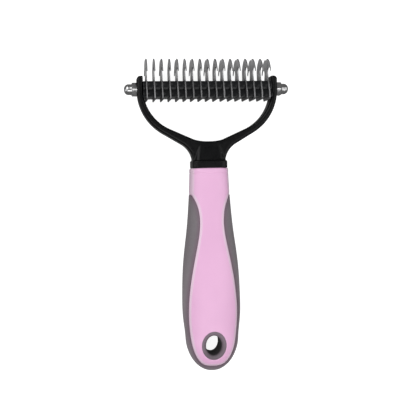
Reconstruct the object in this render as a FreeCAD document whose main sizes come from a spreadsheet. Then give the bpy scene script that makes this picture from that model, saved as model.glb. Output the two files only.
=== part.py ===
import FreeCAD, Part
import math
import os
import Sketcher

# Undercoat rake for long-haired pets, lying on its back.
# X runs along the row of blades, Y from the handle's end towards the blades,
# Z up, out of the front side that carries every claw. Millimetres.
# Each sub-part is drawn in the tool's own frame: Y is measured from the handle's
# end and Z from the middle plane. Its Placement then puts it in the part's frame.

SIZES = (
    # whole tool
    ("overall_length", 170.0),
    ("mid_height", 11.0),
    # blades
    ("blade_count", 17),
    ("blade_pitch", 4.14),
    ("blade_gauge", 0.7),
    ("plate_bottom_y", 147.6),
    ("plate_lower_y", 148.6),
    ("plate_waist_y", 152.0),
    ("plate_top_y", 158.0),
    ("plate_bottom_z", 6.9),
    ("plate_lower_z", 7.9),
    ("plate_top_z", 5.2),
    ("stem_foot_z", 4.3),
    ("stem_neck_z", 3.3),
    ("stem_neck_y", 161.6),
    ("arch_top_z", 6.4),
    ("arch_top_y", 164.9),
    ("claw_inner_z", 10.3),
    ("claw_reach", 11.0),
    ("claw_tip_y", 162.3),
    ("claw_heel_y", 162.7),
    ("crest_z", 2.6),
    ("sickle_back_z", 4.6),
    ("sickle_back_y", 163.6),
    ("arch_inner_round", 2.9),
    ("arch_outer_round", 4.0),
    ("claw_back_round", 11.5),
    ("crest_dip_round", 5.2),
    ("sickle_back_round", 9.5),
    # spacers
    ("spacer_bottom_y", 149.1),
    ("spacer_top_y", 157.8),
    ("spacer_groove_y", 153.2),
    ("spacer_bottom_z", 6.6),
    ("spacer_top_z", 4.7),
    ("spacer_groove_z", 5.2),
    ("spacer_upper_round", 4.2),
    ("spacer_lower_round", 4.6),
    # tie rod and nuts
    ("rod_y", 153.8),
    ("rod_square", 4.0),
    ("rod_thread", 3.9),
    ("rod_end_x", 43.2),
    ("square_hole", 4.1),
    ("nut_bore", 4.0),
    ("nut_flats", 7.0),
    ("nut_hex_height", 2.8),
    ("nut_dome_diameter", 5.8),
    ("nut_height", 6.8),
    ("nut_bore_depth", 5.3),
    ("nut_edge_bevel", 0.45),
    ("nut_crown_round", 2.4),
    # yoke
    ("tab_inner_x", 35.0),
    ("tab_outer_x", 38.2),
    ("tab_top_y", 160.8),
    ("tab_corner_x", 36.5),
    ("tab_corner_y", 159.1),
    ("tab_corner_round", 1.7),
    ("tab_hole", 4.3),
    ("arm_outer_y", 153.4),
    ("arm_outer_round", 27.1),
    ("arm_inner_y", 153.9),
    ("arm_inner_round", 23.7),
    ("saddle_corner_x", 8.2),
    ("saddle_corner_y", 126.6),
    ("saddle_middle_y", 125.5),
    ("saddle_round", 25.3),
    ("neck_waist_x", 8.8),
    ("neck_round", 12.0),
    ("neck_round_y", 113.7),
    ("collar_bottom_y", 111.0),
    ("collar_top_y", 114.9),
    ("collar_x", 9.55),
    ("collar_z", 8.2),
    ("collar_corner", 3.4),
    ("neck_x", 8.75),
    ("neck_z", 7.4),
    ("neck_corner", 2.6),
    ("shoulder_x", 6.9),
    ("shoulder_y", 124.6),
    ("shoulder_z", 4.7),
    ("arm_z", 4.8),
    ("arm_edge_round", 1.4),
    ("tang_bottom_y", 80.0),
    ("tang_x", 6.0),
    ("tang_z", 4.2),
    ("tang_corner", 0.8),
    ("tang_clearance", 0.1),
    # handle
    ("end_round_length", 20.0),
    ("grip_skin", 2.2),
    ("handle_lip_round", 0.8),
    ("hole_y", 15.1),
    ("hole_width", 8.6),
    ("hole_length", 10.8),
    ("liner_width", 13.5),
    ("liner_length", 15.8),
)

# The handle from the round end up to the collar: y, width, depth and how square
# the section is (2 is an ellipse).
HANDLE_STATIONS = (
    (20.0, 29.3, 19.0, 2.3),
    (30.0, 31.4, 20.9, 2.3),
    (42.0, 31.7, 22.0, 2.3),
    (54.0, 30.8, 21.8, 2.35),
    (66.0, 28.5, 20.9, 2.4),
    (78.0, 25.3, 19.8, 2.5),
    (90.0, 23.0, 19.0, 2.7),
    (101.5, 21.4, 18.6, 2.9),
    (110.0, 20.8, 18.4, 3.0),
)

# Half outline of the hard panel, from the round end to where it meets the side:
# half width, y.
PANEL_OUTLINE = (
    (5.6, 4.3),
    (10.05, 9.9),
    (12.6, 19.5),
    (13.45, 35.0),
    (11.45, 53.5),
    (8.55, 68.0),
    (6.65, 82.0),
    (8.1, 91.5),
    (10.5, 96.6),
)
PANEL_END_Y = 3.3

# Where a cutting shape has to pass the tool's surface, it goes on this far.
CLEAR_OF_FORM = 1.0

SECTION_POINTS = 32
END_SECTIONS = 7
END_FLAT_SHARE = 0.09
LIP_STEPS = 3

doc = FreeCAD.newDocument("undercoat_rake")
sheet = doc.addObject("Spreadsheet::Sheet", "sizes")


def fill_sheet():
    """Writes every driving dimension as a plain number with its name as alias."""
    rows = list(SIZES)
    names = ("y", "width", "depth", "power")
    for index, station in enumerate(HANDLE_STATIONS, start=1):
        rows += [(f"station_{index}_{name}", value) for name, value in zip(names, station)]
    for index, point in enumerate(PANEL_OUTLINE, start=1):
        rows += [(f"panel_{index}_half", point[0]), (f"panel_{index}_y", point[1])]
    for row, (name, value) in enumerate(rows, start=1):
        sheet.set(f"A{row}", name)
        sheet.set(f"B{row}", str(value))
        sheet.setAlias(f"B{row}", name)
    doc.recompute()


fill_sheet()


def size(term):
    """The value of a term: names of the sheet joined by + and -, or 0 for an axis."""
    total, sign = 0.0, 1
    for word in str(term).replace("-", " - ").split():
        if word in "+-":
            sign = -1 if word == "-" else 1
        elif word != "0":
            total += sign * float(sheet.get(word))
    return total


def formula(term):
    """The same term as an expression."""
    words = str(term).replace("-", " - ").split()
    return " ".join(word if word in "+-" else "sizes." + word for word in words)


def place(item, x_expression="0"):
    """Moves a sub-part from the tool's own frame into the part's frame."""
    item.setExpression("Placement.Base.x", x_expression)
    item.setExpression("Placement.Base.y", "-sizes.overall_length / 2")
    item.setExpression("Placement.Base.z", "sizes.mid_height")


def new_body(label, x_expression="0"):
    body = doc.addObject("PartDesign::Body", label)
    body.Label = label
    place(body, x_expression)
    return body


def origin_plane(body, role):
    return next(item for item in body.Origin.OriginFeatures if item.Role == role)


def new_sketch(body, role, name):
    sketch = body.newObject("Sketcher::SketchObject", name)
    sketch.AttachmentSupport = [(origin_plane(body, role), "")]
    sketch.MapMode = "FlatFace"
    return sketch


def drive(sketch, kind, targets, value, expression):
    """Adds a dimension to a sketch and binds it to the sheet."""
    index = sketch.addConstraint(Sketcher.Constraint(kind, *targets, value))
    sketch.setExpression(f"Constraints[{index}]", expression)


def pin(sketch, geometry, point, corner):
    """Fixes a point of a sketch at a corner given as two terms."""
    across, up = corner
    if across == 0:
        sketch.addConstraint(Sketcher.Constraint("PointOnObject", geometry, point, -2))
    else:
        drive(sketch, "DistanceX", (-1, 1, geometry, point), size(across), formula(across))
    if up == 0:
        sketch.addConstraint(Sketcher.Constraint("PointOnObject", geometry, point, -1))
    else:
        drive(sketch, "DistanceY", (-1, 1, geometry, point), size(up), formula(up))


def arc_between(start, end, radius, side):
    """The short arc between two points. side is 1 with the centre on the left."""
    chord = end - start
    middle = (start + end) * 0.5
    rise = math.sqrt(max(radius**2 - (chord.Length / 2) ** 2, 0.0))
    normal = FreeCAD.Vector(-chord.y, chord.x, 0).normalize()
    centre = middle + normal * (rise * side)
    first, last = (start, end) if side > 0 else (end, start)
    angles = [math.atan2(point.y - centre.y, point.x - centre.x) for point in (first, last)]
    circle = Part.Circle(centre, FreeCAD.Vector(0, 0, 1), radius)
    return Part.ArcOfCircle(circle, *angles)


def outline(sketch, corners, arcs=None, smooth=(), flush=()):
    """Draws a closed loop. arcs maps a run, by its first corner's index, to its
    radius and side. A corner in smooth is a rough place that tangency settles, and
    a corner in flush keeps its place and is tangent too."""
    arcs = arcs or {}
    spots = []
    for index, corner in enumerate(corners):
        values = corner if index in smooth else [size(term) for term in corner]
        spots.append(FreeCAD.Vector(*values, 0))
    runs = []
    for index, start in enumerate(spots):
        end = spots[(index + 1) % len(spots)]
        if index in arcs:
            radius, side = arcs[index]
            shape = arc_between(start, end, size(radius), side)
            geometry = sketch.addGeometry(shape, False)
            drive(sketch, "Radius", (geometry,), size(radius), formula(radius))
            runs.append((geometry, 1, 2) if side > 0 else (geometry, 2, 1))
        else:
            runs.append((sketch.addGeometry(Part.LineSegment(start, end), False), 1, 2))
    for index, (geometry, first, last) in enumerate(runs):
        following, its_first, _ = runs[(index + 1) % len(runs)]
        joint = "Tangent" if (index + 1) % len(runs) in (*smooth, *flush) else "Coincident"
        sketch.addConstraint(Sketcher.Constraint(joint, geometry, last, following, its_first))
        if index not in smooth:
            pin(sketch, geometry, first, corners[index])
    return [geometry for geometry, _, _ in runs]


def rounded_rectangle(sketch, half_x, half_z, corner):
    """A rectangle about the sketch's origin with round corners."""
    out_x, out_z = f"{half_x} - {corner}", f"{half_z} - {corner}"
    back_x, back_z = f"{corner} - {half_x}", f"{corner} - {half_z}"
    corners = [
        (out_x, "-" + half_z),
        (half_x, back_z),
        (half_x, out_z),
        (out_x, half_z),
        (back_x, half_z),
        ("-" + half_x, out_z),
        ("-" + half_x, back_z),
        (back_x, "-" + half_z),
    ]
    outline(sketch, corners, {index: (corner, 1) for index in (0, 2, 4, 6)})


def centred_circle(sketch, across, up, diameter):
    centre = FreeCAD.Vector(size(across), size(up), 0)
    circle = Part.Circle(centre, FreeCAD.Vector(0, 0, 1), size(diameter) / 2)
    geometry = sketch.addGeometry(circle, False)
    pin(sketch, geometry, 3, (across, up))
    drive(sketch, "Diameter", (geometry,), size(diameter), formula(diameter))


def centred_square(sketch, up, side):
    """A square on the Y axis of a sketch that looks along X."""
    half = size(side) / 2
    middle = size(up)
    turns = ((-1, -1), (1, -1), (1, 1), (-1, 1))
    spots = [FreeCAD.Vector(middle + a * half, b * half, 0) for a, b in turns]
    sides = [Part.LineSegment(spots[k], spots[(k + 1) % 4]) for k in range(4)]
    lines = [sketch.addGeometry(side, False) for side in sides]
    for k in range(4):
        sketch.addConstraint(Sketcher.Constraint("Coincident", lines[k], 2, lines[(k + 1) % 4], 1))
    low, high = f"sizes.{up} - sizes.{side} / 2", f"sizes.{up} + sizes.{side} / 2"
    for geometry, along, across in ((lines[0], low, "-"), (lines[2], high, "")):
        value = middle + (half if across == "" else -half)
        drive(sketch, "DistanceX", (-1, 1, geometry, 1), value, along)
        sign = -1 if across else 1
        drive(sketch, "DistanceY", (-1, 1, geometry, 1), sign * half, f"{across}sizes.{side} / 2")
    for geometry in (lines[0], lines[2]):
        sketch.addConstraint(Sketcher.Constraint("Horizontal", geometry))


def pad(body, sketch, length, name="Pad"):
    """A pad to both sides of the sketch's plane."""
    feature = body.newObject("PartDesign::Pad", name)
    feature.Profile = sketch
    feature.Midplane = True
    feature.setExpression("Length", length)
    return feature


def cut_through(body, sketch, name="Cut"):
    feature = body.newObject("PartDesign::Pocket", name)
    feature.Profile = sketch
    feature.Type = "ThroughAll"
    feature.Midplane = True
    return feature


def square_hole(body):
    """The square hole that a piece on the tie rod has."""
    sketch = new_sketch(body, "YZ_Plane", "RodHoleSketch")
    centred_square(sketch, "rod_y", "square_hole")
    cut_through(body, sketch, "RodHole")


# ---- blades ----


def front_claw():
    """Corners and arcs of a blade's front edge, from the plate up to the crest."""
    corners = [
        ("plate_bottom_y", "plate_bottom_z"),
        ("plate_lower_y", "plate_lower_z"),
        ("plate_waist_y", "plate_lower_z"),
        ("plate_top_y", "plate_top_z"),
        ("plate_top_y", "stem_foot_z"),
        ("stem_neck_y", "stem_neck_z"),
        ("arch_top_y", "arch_top_z"),
        ("claw_tip_y", "claw_inner_z"),
        ("claw_heel_y", "claw_reach"),
        ("overall_length", "crest_z"),
    ]
    arcs = {
        5: ("arch_inner_round", 1),
        6: ("arch_outer_round", 1),
        8: ("claw_back_round", -1),
    }
    return corners, arcs


def double_claw():
    """A blade with a claw at the front and one at the back."""
    corners, arcs = front_claw()
    front = len(corners)
    corners = corners + [(up, "-" + z) for up, z in reversed(corners)]
    arcs = dict(arcs)
    arcs[front - 1] = ("crest_dip_round", 1)
    for first, (radius, side) in list(arcs.items()):
        if first < front - 1:
            arcs[2 * front - 2 - first] = (radius, side)
    return corners, arcs


def single_claw():
    """A sickle blade: a claw at the front and a plain round back."""
    corners, arcs = front_claw()
    arcs = dict(arcs)
    arcs[len(corners) - 1] = ("sickle_back_round", -1)
    corners = corners + [
        ("sickle_back_y", "-sickle_back_z"),
        ("plate_top_y", "-stem_foot_z"),
        ("plate_top_y", "-plate_top_z"),
        ("plate_waist_y", "-plate_lower_z"),
        ("plate_lower_y", "-plate_lower_z"),
        ("plate_bottom_y", "-plate_bottom_z"),
    ]
    return corners, arcs


def make_blade(number):
    """Odd blades carry a claw on each side and even blades one at the front."""
    place_x = f"({number} - (sizes.blade_count + 1) / 2) * sizes.blade_pitch"
    body = new_body(f"blade_{number:02d}", place_x)
    sketch = new_sketch(body, "YZ_Plane", "BladeSketch")
    corners, arcs = double_claw() if number % 2 else single_claw()
    outline(sketch, corners, arcs)
    pad(body, sketch, "sizes.blade_gauge")
    square_hole(body)
    return body


# ---- spacers ----


def make_spacer(label, x_expression, length):
    """A moulded block whose front and back have two shallow lobes and a groove."""
    body = new_body(label, x_expression)
    sketch = new_sketch(body, "YZ_Plane", "SpacerSketch")
    front = [
        ("spacer_bottom_y", "spacer_bottom_z"),
        ("spacer_groove_y", "spacer_groove_z"),
        ("spacer_top_y", "spacer_top_z"),
    ]
    corners = front + [(up, "-" + z) for up, z in reversed(front)]
    lower, upper = ("spacer_lower_round", -1), ("spacer_upper_round", -1)
    outline(sketch, corners, {0: lower, 1: upper, 3: upper, 4: lower})
    pad(body, sketch, length)
    square_hole(body)
    return body


def make_spacers():
    """One spacer in each gap between blades, and a thin one inside each tab."""
    pieces = []
    gap = "sizes.blade_pitch - sizes.blade_gauge"
    for number in range(1, int(size("blade_count"))):
        place_x = f"({number} - sizes.blade_count / 2) * sizes.blade_pitch"
        pieces.append(make_spacer(f"spacer_{number:02d}", place_x, gap))
    row_end = "((sizes.blade_count - 1) * sizes.blade_pitch + sizes.blade_gauge) / 2"
    for side, sign in (("left", "-"), ("right", "")):
        place_x = f"{sign}(sizes.tab_inner_x + {row_end}) / 2"
        pieces.append(make_spacer(f"end_spacer_{side}", place_x, f"sizes.tab_inner_x - {row_end}"))
    return pieces


# ---- edges to round or bevel ----

TOUCHING = 1e-6


def edges_where(shape, wanted):
    """Names of the edges that pass a test."""
    return [f"Edge{index}" for index, edge in enumerate(shape.Edges, start=1) if wanted(edge)]


def edges_across(shape, x, curve):
    """Names of the edges of one kind of curve that lie in the plane at x."""

    def wanted(edge):
        box = edge.BoundBox
        flat = abs(box.XMin - x) < TOUCHING and box.XLength < TOUCHING
        return flat and isinstance(edge.Curve, curve)

    return edges_where(shape, wanted)


# ---- tie rod and nuts ----


def make_tie_rod():
    """A square bar that keys the blades, with a round threaded end on each side."""
    body = new_body("tie_rod")
    square = new_sketch(body, "YZ_Plane", "ShankSketch")
    centred_square(square, "rod_y", "rod_square")
    pad(body, square, "2 * sizes.tab_inner_x", "Shank")
    thread = new_sketch(body, "YZ_Plane", "ThreadSketch")
    centred_circle(thread, "rod_y", 0, "rod_thread")
    pad(body, thread, "2 * sizes.rod_end_x", "Thread")
    return body


def nut_hexagon(sketch):
    """A hexagon centred on the rod's line, with a corner at the front."""
    corner = size("nut_flats") / math.sqrt(3)
    middle = FreeCAD.Vector(size("rod_y"), 0, 0)
    sides = range(6)
    turns = [math.radians(30 + 60 * k) for k in sides]
    spots = [middle + FreeCAD.Vector(math.cos(turn), math.sin(turn), 0) * corner for turn in turns]
    lines = [sketch.addGeometry(Part.LineSegment(spots[k], spots[(k + 1) % 6]), False) for k in sides]
    guide = sketch.addGeometry(Part.Circle(middle, FreeCAD.Vector(0, 0, 1), corner), True)
    for k in sides:
        sketch.addConstraint(Sketcher.Constraint("Coincident", lines[k], 2, lines[(k + 1) % 6], 1))
        sketch.addConstraint(Sketcher.Constraint("PointOnObject", lines[k], 1, guide))
    for k in sides[:-1]:
        sketch.addConstraint(Sketcher.Constraint("Equal", lines[k], lines[k + 1]))
    pin(sketch, guide, 3, ("rod_y", 0))
    drive(sketch, "Radius", (guide,), corner, "sizes.nut_flats / sqrt(3)")
    sketch.addConstraint(Sketcher.Constraint("Vertical", lines[2]))


def make_dome_nut(side, sign):
    """A closed nut: a hexagon with a bevelled outer edge and a round dome."""
    body = new_body(f"dome_nut_{side}", f"{sign}sizes.tab_outer_x")
    if sign:
        body.Placement.Rotation = FreeCAD.Rotation(FreeCAD.Vector(0, 1, 0), 180)
    hexagon = new_sketch(body, "YZ_Plane", "HexSketch")
    nut_hexagon(hexagon)
    hex_pad = body.newObject("PartDesign::Pad", "Hexagon")
    hex_pad.Profile = hexagon
    hex_pad.setExpression("Length", "sizes.nut_hex_height")
    dome = new_sketch(body, "YZ_Plane", "DomeSketch")
    centred_circle(dome, "rod_y", 0, "nut_dome_diameter")
    dome_pad = body.newObject("PartDesign::Pad", "Dome")
    dome_pad.Profile = dome
    dome_pad.setExpression("Length", "sizes.nut_height")
    bore = new_sketch(body, "YZ_Plane", "BoreSketch")
    centred_circle(bore, "rod_y", 0, "nut_bore")
    bore_cut = body.newObject("PartDesign::Pocket", "Bore")
    bore_cut.Profile = bore
    bore_cut.Reversed = True
    bore_cut.setExpression("Length", "sizes.nut_bore_depth")
    doc.recompute()
    crown = body.newObject("PartDesign::Fillet", "Crown")
    crown.Base = (bore_cut, edges_across(bore_cut.Shape, size("nut_height"), Part.Circle))
    crown.setExpression("Radius", "sizes.nut_crown_round")
    doc.recompute()
    bevel = body.newObject("PartDesign::Chamfer", "Bevel")
    bevel.Base = (crown, edges_across(crown.Shape, size("nut_hex_height"), Part.Line))
    bevel.setExpression("Size", "sizes.nut_edge_bevel")
    return body


# ---- yoke ----

# Rough places where the neck's arc meets the arm, settled by tangency.
NECK_RISE = (15.6, 124.4)
ARM_TURN = (24.5, 129.6)
ARM_INNER_TURN = (19.8, 131.9)


def half_yoke(sketch):
    """The right half of the frame, from the collar up to the tab and back."""
    corners = [
        (0, "collar_bottom_y"),
        ("neck_waist_x", "collar_bottom_y"),
        ("neck_waist_x", "collar_top_y"),
        NECK_RISE,
        ARM_TURN,
        ("tab_outer_x", "arm_outer_y"),
        ("tab_outer_x", "tab_corner_y"),
        ("tab_corner_x", "tab_top_y"),
        ("tab_inner_x", "tab_top_y"),
        ("tab_inner_x", "arm_inner_y"),
        ARM_INNER_TURN,
        ("saddle_corner_x", "saddle_corner_y"),
        (0, "saddle_middle_y"),
    ]
    arcs = {
        2: ("neck_round", -1),
        4: ("arm_outer_round", 1),
        6: ("tab_corner_round", 1),
        9: ("arm_inner_round", -1),
        11: ("saddle_round", -1),
    }
    runs = outline(sketch, corners, arcs, smooth=(3, 4, 10), flush=(5, 9))
    neck_centre = (-1, 1, runs[2], 3)
    drive(sketch, "DistanceY", neck_centre, size("neck_round_y"), formula("neck_round_y"))


def end_sketch(body, name, height):
    """A sketch across the tool's length, at a height along it."""
    sketch = new_sketch(body, "XZ_Plane", name)
    sketch.setExpression("AttachmentOffset.Base.z", "-" + formula(height))
    return sketch


def block(body, name, section, start, end):
    """A block with round corners along the tool from start to end."""
    sketch = end_sketch(body, name + "Sketch", start)
    rounded_rectangle(sketch, *section)
    feature = body.newObject("PartDesign::Pad", name)
    feature.Profile = sketch
    feature.Reversed = size(end) > size(start)
    low, high = sorted((start, end), key=size)
    feature.setExpression("Length", f"sizes.{high} - sizes.{low}")
    doc.recompute()


def arm_rims(shape):
    """Names of the edges round the arms' front and back faces."""

    def wanted(edge):
        box = edge.BoundBox
        flat = box.ZLength < TOUCHING and abs(abs(box.ZMin) - size("arm_z")) < TOUCHING
        return flat and box.YMax > size("collar_top_y")

    return edges_where(shape, wanted)


def neck(body):
    """The deep neck, lofted from the collar down to the saddle's depth."""
    foot = end_sketch(body, "NeckFoot", "collar_bottom_y")
    rounded_rectangle(foot, "neck_x", "neck_z", "neck_corner")
    top = end_sketch(body, "NeckTop", "shoulder_y")
    rounded_rectangle(top, "shoulder_x", "shoulder_z", "neck_corner")
    loft = body.newObject("PartDesign::AdditiveLoft", "Neck")
    loft.Profile = foot
    loft.Sections = [top]


def soften(body, base, edges, radius, name):
    feature = body.newObject("PartDesign::Fillet", name)
    feature.Base = (base, edges)
    feature.setExpression("Radius", "sizes." + radius)
    doc.recompute()


def make_yoke():
    """One moulding: collar and tang below, two arms and two drilled tabs above."""
    body = new_body("yoke_frame")
    half = new_sketch(body, "XY_Plane", "HalfSketch")
    half_yoke(half)
    frame = pad(body, half, "2 * sizes.arm_z", "Half")
    mirrored = body.newObject("PartDesign::Mirrored", "BothHalves")
    mirrored.Originals = [frame]
    mirrored.MirrorPlane = (origin_plane(body, "YZ_Plane"), [""])
    body.Tip = mirrored
    doc.recompute()
    soften(body, mirrored, arm_rims(mirrored.Shape), "arm_edge_round", "ArmRims")
    neck(body)
    block(body, "Collar", ("collar_x", "collar_z", "collar_corner"), "collar_bottom_y", "collar_top_y")
    block(body, "Tang", ("tang_x", "tang_z", "tang_corner"), "collar_bottom_y", "tang_bottom_y")
    holes = new_sketch(body, "YZ_Plane", "TabHoleSketch")
    centred_circle(holes, "rod_y", 0, "tab_hole")
    cut_through(body, holes, "TabHoles")
    return body


# ---- handle ----


def oval_section(y, half_width, half_depth, power):
    """A closed curve across the handle, between an ellipse and a rectangle."""
    points = []
    for step in range(SECTION_POINTS):
        turn = 2 * math.pi * step / SECTION_POINTS
        cosine, sine = math.cos(turn), math.sin(turn)
        x = half_width * math.copysign(abs(cosine) ** (2 / power), cosine)
        z = half_depth * math.copysign(abs(sine) ** (2 / power), sine)
        points.append(FreeCAD.Vector(x, y, z))
    curve = Part.BSplineCurve()
    curve.interpolate(Points=points, PeriodicFlag=True)
    return Part.Wire(curve.toShape())


def stations():
    """The handle's driving sections as the sheet has them."""
    names = ("y", "width", "depth", "power")
    count = len(HANDLE_STATIONS)
    return [[size(f"station_{index}_{name}") for name in names] for index in range(1, count + 1)]


def handle_envelope(skin_x=0.0, skin_z=0.0):
    """The handle's outer form, or that form drawn in by a skin at its sides, end
    and faces. The round end is a quarter of an ellipse in plan."""
    rows = stations()
    _, width, depth, power = rows[0]
    length = size("end_round_length") - skin_x
    sections = []
    for step in range(END_SECTIONS):
        turn = math.pi / 2 * step / END_SECTIONS
        share = max(math.sin(turn), END_FLAT_SHARE)
        y = skin_x + length * (1 - math.cos(turn))
        half_width, half_depth = width / 2 - skin_x, depth / 2 - skin_z
        sections.append(oval_section(y, half_width * share, half_depth * share, power))
    for y, width, depth, power in rows:
        sections.append(oval_section(y, width / 2 - skin_x, depth / 2 - skin_z, power))
    return Part.makeLoft(sections, True, False)


def handle_lip():
    """The last millimetre of the handle, which rounds in towards the collar."""
    start, width, depth, power = stations()[-1]
    rise = size("collar_bottom_y") - start
    sections = []
    for step in range(LIP_STEPS + 1):
        turn = math.pi / 2 * step / LIP_STEPS
        inset = size("handle_lip_round") * (1 - math.cos(turn))
        y = start + rise * math.sin(turn)
        sections.append(oval_section(y, width / 2 - inset, depth / 2 - inset, power))
    return Part.makeLoft(sections, True, True)


def through_handle(face):
    """A face in the middle plane, extruded to pass both faces of the handle."""
    reach = size("mid_height") + CLEAR_OF_FORM
    face.translate(FreeCAD.Vector(0, 0, -reach))
    return face.extrude(FreeCAD.Vector(0, 0, 2 * reach))


def panel_prism():
    """The hard panel's outline in plan, cut right through from front to back."""
    count = len(PANEL_OUTLINE)
    right = [(size(f"panel_{index}_half"), size(f"panel_{index}_y")) for index in range(1, count + 1)]
    left = [(-x, y) for x, y in reversed(right)]
    spots = [FreeCAD.Vector(x, y, 0) for x, y in [*left, (0, PANEL_END_Y), *right]]
    curve = Part.BSplineCurve()
    curve.interpolate(spots)
    clear_x = size("station_3_width")
    top = size("overall_length")
    first, last = spots[-1], spots[0]
    frame = [
        first,
        FreeCAD.Vector(clear_x, first.y + CLEAR_OF_FORM, 0),
        FreeCAD.Vector(clear_x, top, 0),
        FreeCAD.Vector(-clear_x, top, 0),
        FreeCAD.Vector(-clear_x, last.y + CLEAR_OF_FORM, 0),
        last,
    ]
    edges = [curve.toShape()]
    edges += [Part.makeLine(a, b) for a, b in zip(frame, frame[1:])]
    return through_handle(Part.Face(Part.Wire(edges)))


def oval_prism(width, length):
    """A straight oval plug through the handle where the hanging hole is."""
    centre = FreeCAD.Vector(0, size("hole_y"), 0)
    tall = centre + FreeCAD.Vector(0, size(length) / 2, 0)
    wide = centre + FreeCAD.Vector(-size(width) / 2, 0, 0)
    ellipse = Part.Ellipse(tall, wide, centre)
    return through_handle(Part.Face(Part.Wire(ellipse.toShape())))


def shaped(label, shape):
    """A sub-part whose free form is set from the sheet's sizes."""
    item = doc.addObject("Part::Feature", label)
    item.Label = label
    item.Shape = shape
    place(item)
    return item


def make_handle():
    """A hard core, the soft grip moulded round its sides and end, and the liner
    of the hanging hole."""
    form = handle_envelope().fuse(handle_lip())
    top = size("collar_bottom_y")
    skin = size("grip_skin")
    inside = handle_envelope(skin, skin / 2)
    plug = oval_prism("liner_width", "liner_length")
    grip = form.cut(panel_prism()).cut(inside)
    clear = size("tang_clearance")
    half_x, half_z = size("tang_x") + clear, size("tang_z") + clear
    low = size("tang_bottom_y") - clear
    corner = FreeCAD.Vector(-half_x, low, -half_z)
    socket = Part.makeBox(2 * half_x, top + CLEAR_OF_FORM - low, 2 * half_z, corner)
    core = form.cut(grip).cut(plug).cut(socket)
    liner = form.common(plug).cut(oval_prism("hole_width", "hole_length"))
    return [shaped("handle_core", core), shaped("grip_overmould", grip), shaped("hang_hole_liner", liner)]


# ---- the whole rake ----


def make_all():
    pieces = make_handle()
    pieces.append(make_yoke())
    pieces.append(make_tie_rod())
    pieces += [make_dome_nut("left", "-"), make_dome_nut("right", "")]
    pieces += [make_blade(number) for number in range(1, int(size("blade_count")) + 1)]
    pieces += make_spacers()
    doc.recompute()
    return pieces


LEAST_CUT = 0.001


def check(pieces):
    """Stops if a feature failed or a piece isn't one valid solid."""
    for item in doc.Objects:
        if {"Invalid", "Error"} & set(item.State):
            raise RuntimeError(f"{item.Label} is in state {item.State}")
    for piece in pieces:
        shape = piece.Shape
        if shape.isNull() or not shape.isValid() or len(shape.Solids) != 1:
            raise RuntimeError(f"{piece.Label} isn't one valid solid")
        for feature in getattr(piece, "Group", []):
            cuts = feature.isDerivedFrom("PartDesign::Pocket")
            if cuts and feature.Shape.Volume > feature.BaseFeature.Shape.Volume - LEAST_CUT:
                raise RuntimeError(f"{piece.Label}: {feature.Label} cuts nothing")


def main():
    pieces = make_all()
    check(pieces)
    os.makedirs("parts", exist_ok=True)
    for piece in pieces:
        piece.Shape.exportStep(f"parts/{piece.Label}.step")
        print(f"{piece.Label:18s} {piece.Shape.Volume:9.1f} mm3")


main()
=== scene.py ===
import math

import bmesh
import bpy
import numpy as np
from mathutils import Matrix, Vector


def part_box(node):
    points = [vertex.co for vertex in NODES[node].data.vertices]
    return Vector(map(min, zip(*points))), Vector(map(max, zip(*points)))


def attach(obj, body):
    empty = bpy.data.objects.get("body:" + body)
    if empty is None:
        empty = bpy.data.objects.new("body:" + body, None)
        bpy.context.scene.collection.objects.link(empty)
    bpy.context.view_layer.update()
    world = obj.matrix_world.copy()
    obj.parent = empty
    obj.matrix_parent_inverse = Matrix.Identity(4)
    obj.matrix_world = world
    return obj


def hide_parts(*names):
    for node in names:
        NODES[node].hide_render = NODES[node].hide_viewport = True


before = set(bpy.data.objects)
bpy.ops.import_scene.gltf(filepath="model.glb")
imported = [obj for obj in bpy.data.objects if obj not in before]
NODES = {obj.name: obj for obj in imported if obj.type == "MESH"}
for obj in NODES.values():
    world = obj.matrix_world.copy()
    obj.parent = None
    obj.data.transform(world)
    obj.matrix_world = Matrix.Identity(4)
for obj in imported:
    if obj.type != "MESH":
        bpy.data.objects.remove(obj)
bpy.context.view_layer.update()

# Undercoat rake, lying on its back. The free forms are drawn in the tool's own
# millimetres: x across, y from the handle's end, z from the middle plane.
MM = 0.001
BODY = "root"
END_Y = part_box("grip_overmould")[0][1]
MID_Z = (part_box("tie_rod")[0][2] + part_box("tie_rod")[1][2]) / 2
WELD = 1e-7


# ---------------------------------------------------------------- mesh helpers


def to_frame(x, y, z):
    """A point of the tool's own frame, in millimetres, as a point of the scene."""
    return Vector((x * MM, END_Y + y * MM, MID_Z + z * MM))


def soften_shading(mesh, sharp_degrees):
    """Smooth shading, broken along edges sharper than an angle."""
    bm = bmesh.new()
    bm.from_mesh(mesh)
    limit = math.radians(sharp_degrees)
    for face in bm.faces:
        face.smooth = True
    for edge in bm.edges:
        if len(edge.link_faces) == 2:
            edge.smooth = edge.calc_face_angle(0.0) < limit
    bm.to_mesh(mesh)
    bm.free()


def finish_piece(name, bm, material, nodes, sharp_degrees=35):
    """Turns a bmesh into a piece that rides on the tool and stands for CAD nodes."""
    bmesh.ops.remove_doubles(bm, verts=bm.verts, dist=WELD)
    bmesh.ops.recalc_face_normals(bm, faces=bm.faces)
    mesh = bpy.data.meshes.new(name)
    bm.to_mesh(mesh)
    bm.free()
    soften_shading(mesh, sharp_degrees)
    piece = bpy.data.objects.new(name, mesh)
    bpy.context.scene.collection.objects.link(piece)
    mesh.materials.append(material)
    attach(piece, BODY)
    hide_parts(*nodes)
    return piece


def add_grid(bm, rows, closed=False, rim_layer=None, rims=()):
    """Quads between rows of points in the tool's millimetres, with the rims' values painted on."""
    made = [[bm.verts.new(to_frame(*point)) for point in row] for row in rows]
    for verts, values in zip(made, rims):
        for vert, value in zip(verts, values):
            vert[rim_layer] = value
    for low, high in zip(made, made[1:]):
        count = len(low) if closed else len(low) - 1
        for k in range(count):
            after = (k + 1) % len(low)
            bm.faces.new((low[k], low[after], high[after], high[k]))
    return made


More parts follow.
